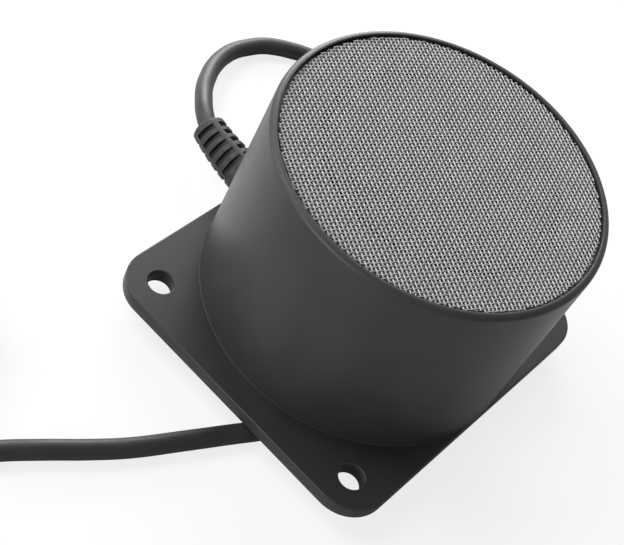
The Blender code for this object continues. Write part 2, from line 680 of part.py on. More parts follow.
def tube(name, points, radius, finish, sides_each_quarter=2, taper=None):
    """A round rod along the points, with closed ends."""
    curve = bpy.data.curves.new(name, "CURVE")
    curve.dimensions = "3D"
    curve.resolution_u = 1
    curve.bevel_depth = radius
    curve.bevel_resolution = sides_each_quarter
    curve.use_fill_caps = True
    line = curve.splines.new("POLY")
    line.points.add(len(points) - 1)
    for index, point in enumerate(points):
        line.points[index].co = (*point, 1.0)
        line.points[index].radius = taper[index] if taper else 1.0
    rod = bpy.data.objects.new(name, curve)
    parts.objects.link(rod)
    if finish:
        curve.materials.append(finishes[finish])
    return rod


def smooth_route(points, spacing):
    """Points a set distance apart on the smooth curve through a list of points."""
    points = [Vector(p) for p in points]
    ends = [2 * points[0] - points[1], *points, 2 * points[-1] - points[-2]]
    fine = []
    for a, b, c, d in zip(ends, ends[1:], ends[2:], ends[3:]):
        for step in range(16):
            t = step / 16
            fine.append(0.5 * ((2 * b) + (c - a) * t + (2 * a - 5 * b + 4 * c - d) * t * t
                               + (3 * b - a - 3 * c + d) * t * t * t))
    fine.append(points[-1])
    travelled = [0.0]
    for a, b in zip(fine, fine[1:]):
        travelled.append(travelled[-1] + (b - a).length)
    count = max(2, round(travelled[-1] / spacing))
    route, index = [], 0
    for number in range(count + 1):
        target = travelled[-1] * number / count
        while index < len(travelled) - 2 and travelled[index + 1] < target:
            index += 1
        share = (target - travelled[index]) / (travelled[index + 1] - travelled[index])
        route.append(fine[index].lerp(fine[index + 1], share))
    return route


def supply_lead_places():
    """Where the leads stand across the header."""
    step = HEADER_SIZE[1] / SUPPLY_LEADS
    return [(i - (SUPPLY_LEADS - 1) / 2) * step for i in range(SUPPLY_LEADS)]


def make_leads():
    """Two leads from the transducer to the board, and four from the relief to the header."""
    rise = CUP_BACK - BOARD_FRONT_HEIGHT
    for number, side in enumerate((-1, 1), start=1):
        x, y = side * TRANSFORMER_SIZE / 4, -TRANSFORMER_SIZE / 2
        points = [(x, y, BOARD_FRONT_HEIGHT + CLEARANCE), (x, y, BOARD_FRONT_HEIGHT + rise / 4),
                  (x * 1.6, y * 1.2, BOARD_FRONT_HEIGHT + rise / 2),
                  (x, y, CUP_BACK - rise / 4), (x, y, CUP_BACK - CLEARANCE)]
        tube(f"transducer_lead_{number}", points, LEAD_RADIUS, ("brown lead", "blue lead")[number - 1], 1)
    top = BOARD_BACK_HEIGHT - CLEARANCE - HEADER_SIZE[2] / 2
    face = HEADER_PLACE[0] - HEADER_SIZE[0] / 4 - CLEARANCE
    start = relief_collar_face() + CLEARANCE
    colours = ("brown lead", "white lead", "blue lead", "black lead")
    for number, y in enumerate(supply_lead_places()):
        near = y / 2
        points = [(start, near, RELIEF_HEIGHT), (start + 2 * BOSS_RADIUS / 3, near, RELIEF_HEIGHT),
                  (start + BOSS_RADIUS, near + y * 0.2, RELIEF_HEIGHT + BOSS_RADIUS / 2),
                  (start + BOSS_RADIUS, y * 0.8, (RELIEF_HEIGHT + top) / 2),
                  (start + 1.2 * BOSS_RADIUS, y, top - BOSS_RADIUS / 2),
                  (start + 2 * BOSS_RADIUS, y, top), (face, y, top)]
        tube(f"supply_lead_{number + 1}", points, LEAD_RADIUS * 0.8, colours[number], 1)


def relief_collar_face():
    """The inner end of the strain relief, inside the bore."""
    ends = (RELIEF_HEIGHT - RELIEF_COLLAR_RADIUS, RELIEF_HEIGHT + RELIEF_COLLAR_RADIUS)
    bore = min(bore_radius(end) for end in ends)
    seat = math.sqrt(bore ** 2 - RELIEF_COLLAR_RADIUS ** 2) - CLEARANCE
    return -seat + RELIEF_COLLAR_THICKNESS


def relief_axis(along):
    """The place and heading of the relief's bent axis, this far from its root."""
    turn = RELIEF_BEND * along / RELIEF_LENGTH
    radius = RELIEF_LENGTH / RELIEF_BEND
    ends = (RELIEF_HEIGHT - RELIEF_ROOT_RADIUS, RELIEF_HEIGHT + RELIEF_ROOT_RADIUS)
    root = -max(barrel_radius(end) for end in ends) - CLEARANCE
    place_at = Vector((root - radius * math.sin(turn), radius * (1 - math.cos(turn)), RELIEF_HEIGHT))
    return place_at, Matrix.Rotation(-turn, 4, "Z")


def relief_slots():
    """Rings of four slots, each cut in from outside between two webs."""
    def build(shape):
        for ring in range(RELIEF_SLOT_RINGS):
            along = RELIEF_LENGTH - RELIEF_FIRST_SLOT - ring * RELIEF_SLOT_PITCH
            share = along / RELIEF_LENGTH
            radius = RELIEF_ROOT_RADIUS + (RELIEF_TIP_RADIUS - RELIEF_ROOT_RADIUS) * share
            middle, turn = relief_axis(along)
            depth = 2 * RELIEF_SLOT_DEPTH
            width = 2 * (radius - RELIEF_SLOT_DEPTH) - RELIEF_WEB_WIDTH / 2
            for side in range(4):
                roll = Matrix.Rotation(RELIEF_SLOT_TURN + side * math.pi / 2, 4, "X")
                out = Matrix.Translation((0, radius, 0))
                size = Matrix.Diagonal((RELIEF_SLOT_WIDTH, depth, width, 1.0))
                bmesh.ops.create_cube(
                    shape, size=1.0, matrix=Matrix.Translation(middle) @ turn @ roll @ out @ size)
    return place("relief slots", mesh_from("relief slots", build))


def make_strain_relief():
    """Bent tapered sleeve, with a neck through the wall and a collar inside it."""
    inner = relief_collar_face()
    steps = 8
    points = [(inner, 0, RELIEF_HEIGHT), (inner - RELIEF_COLLAR_THICKNESS, 0, RELIEF_HEIGHT)]
    radii = [RELIEF_COLLAR_RADIUS, RELIEF_COLLAR_RADIUS]
    shoulder = CLEARANCE / 3
    root = relief_axis(0)[0]
    points += [(points[-1][0] - shoulder, 0, RELIEF_HEIGHT), (root.x + shoulder, 0, RELIEF_HEIGHT)]
    radii += [RELIEF_NECK_RADIUS, RELIEF_NECK_RADIUS]
    for step in range(steps + 1):
        points.append(tuple(relief_axis(RELIEF_LENGTH * step / steps)[0]))
        radii.append(RELIEF_ROOT_RADIUS + (RELIEF_TIP_RADIUS - RELIEF_ROOT_RADIUS) * step / steps)
    rod = tube("relief blank", points, RELIEF_ROOT_RADIUS, None, 6,
               [radius / RELIEF_ROOT_RADIUS for radius in radii])
    bpy.context.view_layer.update()
    solid = bpy.data.meshes.new_from_object(rod.evaluated_get(bpy.context.evaluated_depsgraph_get()))
    bpy.data.objects.remove(rod, do_unlink=True)
    shape = bmesh.new()
    shape.from_mesh(solid)
    bmesh.ops.remove_doubles(shape, verts=shape.verts, dist=0.000001)
    bmesh.ops.recalc_face_normals(shape, faces=shape.faces)
    shape.to_mesh(solid)
    shape.free()
    relief = place("strain_relief", solid, "cable sheath")
    shade_round(relief)
    boolean(relief, relief_slots(), "DIFFERENCE")


def make_cable():
    """The stretch from the relief round and under the sensor to the wound-up length."""
    tip, turn = relief_axis(RELIEF_LENGTH)
    start = tip + turn @ Vector((-CLEARANCE, 0, 0))
    lead_out = tip + turn @ Vector((-CABLE_DIAMETER / 2, 0, 0))
    route = smooth_route([lead_out, *CABLE_ROUTE], CABLE_POINT_SPACING)
    tube("cable", [start, *route], CABLE_DIAMETER / 2, "cable sheath")


def make_coil():
    """The wound-up length as one ring, raised by the tie that goes round it."""
    low = TABLE + TIE_THICKNESS + CLEARANCE
    high = low + COIL_HEIGHT
    inner, outer, corner = COIL_INNER_RADIUS, COIL_OUTER_RADIUS, COIL_CORNER
    coil = turned("cable_coil", [
        (outer - corner, high), (outer, high - corner), (outer, low + corner), (outer - corner, low),
        (inner + corner, low), (inner, low + corner), (inner, high - corner), (inner + corner, high),
    ], "cable sheath", sides=32, closed=True)
    coil.location = (*COIL_CENTRE, 0)


def make_tie():
    """A flat band round the bundle."""
    gap, thick = CLEARANCE, TIE_THICKNESS
    width = COIL_OUTER_RADIUS - COIL_INNER_RADIUS + 2 * gap
    height = COIL_HEIGHT + 2 * gap
    middle_radius = (COIL_OUTER_RADIUS + COIL_INNER_RADIUS) / 2
    x, y = on_circle(middle_radius, TIE_ANGLE)
    middle = (COIL_CENTRE[0] + x, COIL_CENTRE[1] + y, TABLE + thick + height / 2)
    turn = Matrix.Rotation(TIE_ANGLE, 4, "Z")
    def build_outside(shape):
        add_box(shape, middle, (width + 2 * thick, TIE_WIDTH, height + 2 * thick), turn)
    def build_inside(shape):
        add_box(shape, middle, (width, 2 * TIE_WIDTH, height), turn)
    tie = place("cable_tie", mesh_from("cable_tie", build_outside), "cable sheath")
    boolean(tie, place("tie opening", mesh_from("tie opening", build_inside)), "DIFFERENCE")


def make_tail():
    """The free end: a short straight stretch, its four conductors and their ferrules."""
    x = COIL_CENTRE[0] - COIL_OUTER_RADIUS - CLEARANCE - CABLE_DIAMETER / 2
    start = COIL_CENTRE[1]
    end = start + TAIL_LENGTH
    points = [(x, start + TAIL_LENGTH * i / 4, CABLE_REST_HEIGHT) for i in range(5)]
    tube("cable_tail", points, CABLE_DIAMETER / 2, "cable sheath")
    colours = ("brown lead", "white lead", "blue lead", "black lead")
    height = TABLE + FERRULE_RADIUS
    for number in range(SUPPLY_LEADS):
        place_across = number - (SUPPLY_LEADS - 1) / 2
        near = x + place_across * CABLE_DIAMETER / 4
        far = x + place_across * LEAD_SPREAD * 1.4
        first = end + CLEARANCE
        points = [(near, first, CABLE_REST_HEIGHT), (near, first + LEAD_LENGTH / 6, CABLE_REST_HEIGHT),
                  (far, first + LEAD_LENGTH / 2, height), (far, first + LEAD_LENGTH, height)]
        tube(f"end_lead_{number + 1}", points, LEAD_RADIUS, colours[number], 1)
        low = first + LEAD_LENGTH + CLEARANCE
        ferrule = [(far, low, height), (far, low + FERRULE_LENGTH, height)]
        tube(f"end_ferrule_{number + 1}", ferrule, FERRULE_RADIUS, "tinned copper")


# Back cover

def make_cover():
    """The sunk back cover with its countersunk screws, and the gasket behind it."""
    cover = turned("back_cover", [
        (0, COVER_FRONT), (COVER_RADIUS, COVER_FRONT), (COVER_RADIUS, COVER_BACK), (0, COVER_BACK),
    ], "housing plastic")
    spread = (SCREW_HEAD_RADIUS - SCREW_RADIUS) / COUNTERSINK_DEPTH
    hole = SCREW_RADIUS + CLEARANCE
    mouth = SCREW_HEAD_RADIUS + CLEARANCE
    for angle in COVER_SCREW_ANGLES:
        countersink = turned("countersink", [
            (0, 2 * COVER_THICKNESS), (hole, 2 * COVER_THICKNESS), (hole, COUNTERSINK_DEPTH),
            (mouth + spread * CLEARANCE, -CLEARANCE), (0, -CLEARANCE),
        ], sides=10)
        countersink.location = (*on_circle(BOSS_PITCH_RADIUS, angle), COVER_BACK)
        boolean(cover, countersink, "DIFFERENCE")
    low = COVER_FRONT + CLEARANCE
    inner = bore_radius(COVER_SHOULDER) + BOSS_SINK + CLEARANCE
    turned("cover_gasket", [
        (COVER_RADIUS, low + GASKET_THICKNESS), (COVER_RADIUS, low),
        (inner, low), (inner, low + GASKET_THICKNESS),
    ], "soft foam", sides=36, closed=True)


clear_scene()
parts = new_collection("ultrasonic distance sensor")
tools = new_collection("cutters")
finishes = make_finishes()
make_housing()
make_screen()
make_transducer()
make_clamp_ring()
make_board()
make_transformer()
make_capacitor()
make_bead()
make_chip("microcontroller", CONTROLLER_SIZE, CONTROLLER_PLACE, "chip plastic")
make_chip("driver_chip", DRIVER_SIZE, DRIVER_PLACE, "chip plastic")
make_chip("voltage_regulator", REGULATOR_SIZE, REGULATOR_PLACE, "chip plastic")
make_header()
make_leads()
make_screws("clamp_screw", CLAMP_SCREW_ANGLES, CLAMP_BACK - CLEARANCE, pan_head_screw())
make_screws("board_screw", BOARD_SCREW_ANGLES, BOARD_BACK_HEIGHT - CLEARANCE, pan_head_screw())
make_screws("cover_screw", COVER_SCREW_ANGLES, COVER_BACK, countersunk_screw())
make_cover()
make_strain_relief()
make_cable()
make_coil()
make_tie()
make_tail()
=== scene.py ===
"""Dresses the flange-mounted ultrasonic distance sensor: moulded housing, woven screen and cable.

Laid out as an add-on. Each piece has an operator, and the sizes and colours are scene properties.
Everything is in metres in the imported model's frame: +Z is the way the sensor faces, and the
cable leaves the housing towards -X.
"""

import json
import math

import bmesh
import bpy
import numpy as np
from bpy.props import FloatProperty, FloatVectorProperty, IntProperty, PointerProperty
from mathutils import Matrix, Vector


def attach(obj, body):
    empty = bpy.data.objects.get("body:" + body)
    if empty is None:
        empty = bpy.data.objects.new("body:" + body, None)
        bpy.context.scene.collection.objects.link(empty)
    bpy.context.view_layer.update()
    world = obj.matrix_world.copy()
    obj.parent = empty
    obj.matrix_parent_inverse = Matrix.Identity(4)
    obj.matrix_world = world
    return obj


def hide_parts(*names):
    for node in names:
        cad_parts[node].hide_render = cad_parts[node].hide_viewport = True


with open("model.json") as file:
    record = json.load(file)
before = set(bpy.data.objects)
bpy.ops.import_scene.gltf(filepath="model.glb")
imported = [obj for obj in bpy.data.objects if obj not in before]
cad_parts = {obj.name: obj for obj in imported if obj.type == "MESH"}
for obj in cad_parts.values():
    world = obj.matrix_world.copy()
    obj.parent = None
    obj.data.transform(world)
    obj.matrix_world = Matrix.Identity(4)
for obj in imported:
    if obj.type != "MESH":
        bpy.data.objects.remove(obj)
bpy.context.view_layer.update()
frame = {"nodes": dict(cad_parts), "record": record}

bl_info = {
    "name": "Ultrasonic distance sensor",
    "version": (1, 0, 0),
    "blender": (4, 5, 0),
    "location": "View3D > Sidebar > Sensor",
    "description": "Builds the visible surface of a flange-mounted ultrasonic distance sensor",
    "category": "Object",
}

FLANGE_BACK = 0.0005  # above the seating pads
TABLE = -0.0045  # below them, since the sensor lies on its cable


# Settings

def length(name, description, default):
    """A length setting in metres."""
    return FloatProperty(name=name, description=description, default=default,
                         unit="LENGTH", precision=5)


def colour(name, description, default):
    """A colour setting."""
    return FloatVectorProperty(name=name, description=description, default=default,
                               subtype="COLOR", size=3, min=0.0, max=1.0)


class HousingSettings(bpy.types.PropertyGroup):
    """Sizes and colour of the moulded housing."""
    top_radius: length("Top radius", "Barrel radius at the rim", 0.0403)
    base_radius: length("Base radius", "Barrel radius at the flange", 0.0404)
    height: length("Height", "Height of the rim above the seating pads", 0.0567)
    rim_inner_radius: length("Rim inner radius", "Radius inside the rim", 0.0386)
    ledge_height: length("Ledge height", "Height of the ledge under the screen", 0.0554)
    flange_width: length("Flange width", "Flange size along X", 0.0812)
    flange_length: length("Flange length", "Flange size along Y", 0.0946)
    flange_thickness: length("Flange thickness", "Thickness of the flange", 0.0035)
    corner_radius: length("Corner radius", "Radius of the flange's corners", 0.0099)
    hole_radius: length("Hole radius", "Radius of the mounting holes", 0.0032)
    hole_spacing_x: length("Hole spacing X", "Distance between holes along X", 0.0633)
    hole_spacing_y: length("Hole spacing Y", "Distance between holes along Y", 0.0770)
    edge_radius: length("Edge radius", "Rounding of the flange's edges", 0.0003)
    fillet_radius: length("Fillet radius", "Fillet where the barrel meets the flange", 0.00015)
    plastic: colour("Plastic", "Colour of the moulded plastic", (0.0250, 0.0246, 0.0242))


class ScreenSettings(bpy.types.PropertyGroup):
    """Sizes and colour of the woven screen."""
    pitch: length("Pitch", "Distance from wire to wire", 0.00097)
    wire: length("Wire", "Wire diameter", 0.00038)
    radius: length("Radius", "Radius the cloth is cut to", 0.0382)
    warp_crimp: FloatProperty(name="Warp crimp", default=0.80,
                              description="Wave of the warp, as a share of half the wire")
    weft_crimp: FloatProperty(name="Weft crimp", default=0.25,
                              description="Wave of the weft, as a share of half the wire")
    middle: length("Middle", "Height of the cloth's middle plane", 0.0561)
    turn: FloatProperty(name="Turn", description="Angle of the weave from +X",
                        default=math.radians(60.5), unit="ROTATION")
    steel: colour("Steel", "Colour of the wires", (0.285, 0.285, 0.281))


class CableSettings(bpy.types.PropertyGroup):
    """Sizes and colour of the cable and its strain relief."""
    diameter: length("Diameter", "Cable diameter", 0.0047)
    lead_length: length("Length", "Length of the whole cable", 2.0)
    turns: IntProperty(name="Turns", description="Whole turns in the wound-up length",
                       default=9, min=2)
    relief_length: length("Relief length", "Length of the strain relief outside the wall", 0.0176)
    relief_root: length("Relief root", "Radius of the strain relief at the wall", 0.0054)
    relief_tip: length("Relief tip", "Radius of the strain relief at its tip", 0.0043)
    sheath: colour("Sheath", "Colour of the cable's sheath", (0.018, 0.018, 0.018))


class StageSettings(bpy.types.PropertyGroup):
    """Camera, light and floor."""
    lens: FloatProperty(name="Lens", description="Focal length on a 36 mm wide frame",
                        default=87.26, subtype="DISTANCE_CAMERA")
    floor: colour("Floor", "Colour of the floor", (0.90, 0.90, 0.90))
    ambient: FloatProperty(name="Ambient", description="Strength of the even light from all round",
                           default=0.08, min=0.0)


# Mesh tools

def linked(name, data):
    """A new object in the scene's collection."""
    piece = bpy.data.objects.new(name, data)
    bpy.context.scene.collection.objects.link(piece)
    return piece


def place(name, mesh, finish):
    """Adds a piece with its finish that rides on the sensor's body."""
    piece = linked(name, mesh)
    piece.data.materials.append(finish)
    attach(piece, "root")
    return piece


def turned_mesh(name, profile, steps):
    """A closed mesh from a closed profile of (radius, height) points turned about Z."""
    shape = bmesh.new()
    ring = [shape.verts.new((r, 0, z)) for r, z in profile]
    edges = [shape.edges.new((a, b)) for a, b in zip(ring, ring[1:] + ring[:1])]
    bmesh.ops.spin(shape, geom=ring + edges, axis=(0, 0, 1), cent=(0, 0, 0),
                   steps=steps, angle=2 * math.pi, use_merge=True)
    bmesh.ops.remove_doubles(shape, verts=shape.verts, dist=1e-7)
    bmesh.ops.recalc_face_normals(shape, faces=shape.faces)
    mesh = bpy.data.meshes.new(name)
    shape.to_mesh(mesh)
    shape.free()
    smooth(mesh)
    return mesh


def smooth(mesh, degrees=32):
    """Smooth shading with sharp edges above the angle."""
    mesh.shade_smooth()
    mesh.set_sharp_from_angle(angle=math.radians(degrees))


def flat_faces(mesh):
    """Keeps level faces flat in the shading beside their rounded edges."""
    shape = bmesh.new()
    shape.from_mesh(mesh)
    for edge in shape.edges:
        tilts = [abs(face.normal.z) > 0.9999 for face in edge.link_faces]
        if any(tilts) and not all(tilts):
            edge.smooth = False
    shape.to_mesh(mesh)
    shape.free()


def arc(centre, radius, start, end, steps):
    """Profile points on an arc, angles in degrees."""
    angles = np.radians(np.linspace(start, end, steps + 1))
    return [(centre[0] + radius * math.cos(a), centre[1] + radius * math.sin(a)) for a in angles]


def joined(name, meshes):
    """One mesh from several, shaded again as a whole."""
    shape = bmesh.new()
    for mesh in meshes:
        shape.from_mesh(mesh)
    whole = bpy.data.meshes.new(name)
    shape.to_mesh(whole)
    shape.free()
    smooth(whole)
    flat_faces(whole)
    return whole


def evaluated_mesh(piece):
    """The mesh a temporary object makes with its modifiers, and removes the object."""
    bpy.context.view_layer.update()
    finished = piece.evaluated_get(bpy.context.evaluated_depsgraph_get())
    mesh = bpy.data.meshes.new_from_object(finished)
    bpy.data.objects.remove(piece, do_unlink=True)
    return mesh


def plate_mesh(name, loops, low, high, edge):
    """A flat plate between two heights from closed outlines, with rounded edges."""
    outline = bpy.data.curves.new(name, "CURVE")
    outline.dimensions = "2D"
    outline.fill_mode = "BOTH"
    outline.resolution_u = 1
    outline.extrude = (high - low) / 2 - edge
    outline.bevel_depth = edge
    outline.bevel_resolution = 3
    outline.offset = -edge
    for loop in loops:
        line = outline.splines.new("POLY")
        line.points.add(len(loop) - 1)
        line.use_cyclic_u = True
        for point, (x, y) in zip(line.points, loop):
            point.co = (x, y, 0, 1)
    plate = evaluated_mesh(linked(name, outline))
    plate.transform(Matrix.Translation((0, 0, (high + low) / 2)))
    shape = bmesh.new()
    shape.from_mesh(plate)
    bmesh.ops.remove_doubles(shape, verts=shape.verts, dist=1e-6)
    bmesh.ops.recalc_face_normals(shape, faces=shape.faces)
    shape.to_mesh(plate)
    shape.free()
    return plate


def circle(x, y, radius, count=48):
    """Outline points of a circle."""
    angles = [2 * math.pi * i / count for i in range(count)]
    return [(x + radius * math.cos(a), y + radius * math.sin(a)) for a in angles]


def rounded_rectangle(width, depth, radius, count=14):
    """Outline points of a rectangle with rounded corners, centred on the origin."""
    corners = ((1, 1, 0), (-1, 1, 90), (-1, -1, 180), (1, -1, 270))
    points = []
    for x, y, start in corners:
        centre = (x * (width / 2 - radius), y * (depth / 2 - radius))
        points += arc(centre, radius, start, start + 90, count)
    return points


def rod_curve(name, points, radius, finish, resolution, sides):
    """A smooth round rod through the points."""
    curve = bpy.data.curves.new(name, "CURVE")
    curve.dimensions = "3D"
    curve.resolution_u = resolution
    curve.bevel_depth = radius
    curve.bevel_resolution = sides
    curve.use_fill_caps = True
    line = curve.splines.new("BEZIER")
    line.bezier_points.add(len(points) - 1)
    for knot, point in zip(line.bezier_points, points):
        knot.co = point
        knot.handle_left_type = "AUTO"
        knot.handle_right_type = "AUTO"
    return place(name, curve, finish)


# Node groups

GIVEN_BY_GROUPS = (("Height", "NodeSocketFloat"), ("Roughness", "NodeSocketFloat"),
                   ("Mask", "NodeSocketFloat"))


def new_group(name, inputs, outputs):
    """An empty shader group with value inputs and outputs, and its in and out nodes."""
    group = bpy.data.node_groups.new(name, "ShaderNodeTree")
    for label, kind, default in inputs:
        socket = group.interface.new_socket(label, in_out="INPUT", socket_type=kind)
        socket.default_value = default
    for label, kind in outputs:
        group.interface.new_socket(label, in_out="OUTPUT", socket_type=kind)
    return group, group.nodes.new("NodeGroupInput"), group.nodes.new("NodeGroupOutput")


def math_node(tree, operation, first, second):
    """A Math node fed by sockets or numbers."""
    node = tree.nodes.new("ShaderNodeMath")
    node.operation = operation
    for socket, value in zip(node.inputs, (first, second)):
        if isinstance(value, (int, float)):
            socket.default_value = value
        else:
            tree.links.new(value, socket)
    return node.outputs[0]


def noise(tree, place_from, scale, detail, roughness):
    """A Noise Texture's value, with its scale a number or a socket."""
    node = tree.nodes.new("ShaderNodeTexNoise")
    node.inputs["Detail"].default_value = detail
    node.inputs["Roughness"].default_value = roughness
    tree.links.new(place_from, node.inputs["Vector"])
    if isinstance(scale, (int, float)):
        node.inputs["Scale"].default_value = scale
    else:
        tree.links.new(scale, node.inputs["Scale"])
    return node.outputs["Fac"]


def spread(tree, value, low, high, out_low, out_high):
    """Maps a value from one range to another, smoothly and held at the ends."""
    node = tree.nodes.new("ShaderNodeMapRange")
    node.interpolation_type = "SMOOTHSTEP"
    ends = {"From Min": low, "From Max": high, "To Min": out_low, "To Max": out_high}
    for label, number in ends.items():
        if isinstance(number, (int, float)):
            node.inputs[label].default_value = number
        else:
            tree.links.new(number, node.inputs[label])
    tree.links.new(value, node.inputs["Value"])
    return node.outputs["Result"]


def moulded_grain_group():
    """Fine texture of a spark-eroded mould: height, roughness and a soft colour mask."""
    group, taken, given = new_group("Moulded grain", [
        ("Grain Scale", "NodeSocketFloat", 9000.0), ("Roughness Low", "NodeSocketFloat", 0.40),
        ("Roughness High", "NodeSocketFloat", 0.55),
    ], GIVEN_BY_GROUPS)
    place_from = group.nodes.new("ShaderNodeTexCoord").outputs["Object"]
    fine = noise(group, place_from, taken.outputs["Grain Scale"], 3.0, 0.6)
    patches = noise(group, place_from, 90.0, 4.0, 0.55)
    height = math_node(group, "ADD", fine, math_node(group, "MULTIPLY", patches, 0.12))
    rough = spread(group, patches, 0.3, 0.7, taken.outputs["Roughness Low"],
                   taken.outputs["Roughness High"])
    group.links.new(height, given.inputs["Height"])
    group.links.new(rough, given.inputs["Roughness"])
    group.links.new(spread(group, patches, 0.25, 0.75, 0.0, 1.0), given.inputs["Mask"])
    return group


def drawn_metal_group():
    """Fine streaks and dull patches of drawn or turned metal."""
    group, taken, given = new_group("Drawn metal", [
        ("Streak Scale", "NodeSocketFloat", 2500.0), ("Roughness Low", "NodeSocketFloat", 0.22),
        ("Roughness High", "NodeSocketFloat", 0.42),
    ], GIVEN_BY_GROUPS)
    place_from = group.nodes.new("ShaderNodeTexCoord").outputs["Object"]
    streaks = noise(group, place_from, taken.outputs["Streak Scale"], 2.0, 0.5)
    patches = noise(group, place_from, 160.0, 3.0, 0.5)
    both = math_node(group, "MULTIPLY", math_node(group, "ADD", streaks, patches), 0.5)
    rough = spread(group, both, 0.35, 0.65, taken.outputs["Roughness Low"],
                   taken.outputs["Roughness High"])
    group.links.new(streaks, given.inputs["Height"])
    group.links.new(rough, given.inputs["Roughness"])
    group.links.new(spread(group, patches, 0.3, 0.7, 0.0, 1.0), given.inputs["Mask"])
    return group


# Materials

def surface(name, group, first, second, settings, bump, distance, metallic=0.0, specular=0.5):
    """A Principled material whose colour goes between two shades by the group's mask."""
    finish = bpy.data.materials.new(name)
    finish.use_nodes = True
    tree = finish.node_tree
    shader = tree.nodes["Principled BSDF"]
    effect = tree.nodes.new("ShaderNodeGroup")
    effect.node_tree = group
    for label, value in settings.items():
        effect.inputs[label].default_value = value
    mix = tree.nodes.new("ShaderNodeMix")
    mix.data_type = "RGBA"
    mix.inputs["A"].default_value = (*first, 1)
    mix.inputs["B"].default_value = (*second, 1)
    tree.links.new(effect.outputs["Mask"], mix.inputs["Factor"])
    tree.links.new(mix.outputs["Result"], shader.inputs["Base Color"])
    tree.links.new(effect.outputs["Roughness"], shader.inputs["Roughness"])
    relief = tree.nodes.new("ShaderNodeBump")
    relief.inputs["Strength"].default_value = bump
    relief.inputs["Distance"].default_value = distance
    tree.links.new(effect.outputs["Height"], relief.inputs["Height"])
    tree.links.new(relief.outputs["Normal"], shader.inputs["Normal"])
    shader.inputs["Metallic"].default_value = metallic
    shader.inputs["Specular IOR Level"].default_value = specular
    return finish


def shade(base, factor):
    """A lighter or darker shade of a colour."""
    return tuple(min(1.0, c * factor) for c in base)


HIDDEN_FINISHES = (  # slot, colour, metallic, roughness
    ("screw_steel", (0.55, 0.55, 0.55), 1.0, 0.30),
    # The cup's near-black colour is painted shade: it keeps the cup's ring behind the screen as
    # dark as the shaded recess.
    ("cup_aluminium", (0.08, 0.08, 0.082), 1.0, 0.45),
    ("soft_foam", (0.05, 0.05, 0.05), 0.0, 0.90),
    ("matching_layer", (0.035, 0.035, 0.038), 0.0, 0.65),
    ("piezo_ceramic", (0.72, 0.66, 0.52), 0.0, 0.50),
    ("potting_resin", (0.02, 0.02, 0.022), 0.0, 0.30),
    ("board_laminate", (0.02, 0.16, 0.07), 0.0, 0.40),
    ("chip_plastic", (0.02, 0.02, 0.02), 0.0, 0.50),
    ("ferrite", (0.09, 0.09, 0.095), 0.0, 0.60),
    ("tinned_copper", (0.75, 0.74, 0.72), 1.0, 0.28),
    ("brown_lead", (0.14, 0.05, 0.02), 0.0, 0.42),
    ("blue_lead", (0.02, 0.08, 0.30), 0.0, 0.42),
    ("white_lead", (0.75, 0.75, 0.73), 0.0, 0.42),
    ("black_lead", (0.02, 0.02, 0.02), 0.0, 0.42),
    ("header_nylon", (0.80, 0.78, 0.70), 0.0, 0.48),
)
finishes = {}


def make_finishes(scene):
    """Makes every material once, named as the record's slots are."""
    grain, metal = moulded_grain_group(), drawn_metal_group()
    plastic = tuple(scene.sensor_housing.plastic)
    sheath = tuple(scene.sensor_cable.sheath)
    steel = tuple(scene.sensor_screen.steel)
    finishes["housing_plastic"] = surface(
        "Housing plastic", grain, shade(plastic, 0.94), shade(plastic, 1.07),
        {"Grain Scale": 9000.0, "Roughness Low": 0.40, "Roughness High": 0.43},
        0.18, 0.00003, specular=0.21)
    finishes["cable_sheath"] = surface(
        "Cable sheath", grain, shade(sheath, 0.8), shade(sheath, 1.25),
        {"Grain Scale": 5000.0, "Roughness Low": 0.44, "Roughness High": 0.54},
        0.12, 0.00003, specular=0.22)
    finishes["steel_wire"] = surface(
        "Steel wire", metal, shade(steel, 0.95), shade(steel, 1.05),
        {"Streak Scale": 4000.0, "Roughness Low": 0.38, "Roughness High": 0.48},
        0.1, 0.00001, metallic=1.0)
    for name, base, metallic, rough in HIDDEN_FINISHES:
        settings = {"Roughness Low": rough - 0.06, "Roughness High": rough + 0.08}
        finishes[name] = surface(name.replace("_", " ").capitalize(), metal if metallic else grain,
                                 shade(base, 0.88), shade(base, 1.08), settings, 0.15, 0.00004,
                                 metallic=metallic)


# Housing

RIM_OUTER_ROUND = 0.0013
RIM_INNER_ROUND = 0.0002
WALL = 0.0034
BULKHEAD = 0.0024
TRANSDUCER_OPENING = 0.0285
COVER_OPENING = 0.0392
BARREL_SUNK = 0.001  # of the barrel's outside into the flange
BARREL_FOOT = 0.0006  # above the flange's back
BARREL_FOOT_INSET = 0.0004
BARREL_STEPS = 224
PAD_RADIUS = 0.0062
PAD_EDGE = 0.00008
PAD_SUNK = 0.0004  # into the flange
FILLET_SUNK = 0.00002  # into the barrel
FILLET_SUNK_BELOW = 0.0001  # into the flange


def barrel_mesh(size):
    """Barrel, rim, ledge and cover seat as one turned profile."""
    rim, lip, seat = RIM_OUTER_ROUND, RIM_INNER_ROUND, COVER_OPENING
    top, inner, bore = size.height, size.rim_inner_radius, size.base_radius - WALL
    ledge, front = size.ledge_height, FLANGE_BACK + size.flange_thickness
    under, foot = ledge - BULKHEAD, FLANGE_BACK + BARREL_FOOT
    outside = [(size.base_radius, front - BARREL_SUNK),
               *arc((size.top_radius - rim, top - rim), rim, 0, 90, 8)]
    inside = [*arc((inner + lip, top - lip), lip, 90, 180, 5), (inner, ledge),
              (TRANSDUCER_OPENING, ledge), (TRANSDUCER_OPENING, under), (bore, under),
              (bore, front), (seat, front), (seat, foot),
              (size.base_radius - BARREL_FOOT_INSET, foot)]
    return turned_mesh("barrel", outside + inside, BARREL_STEPS)


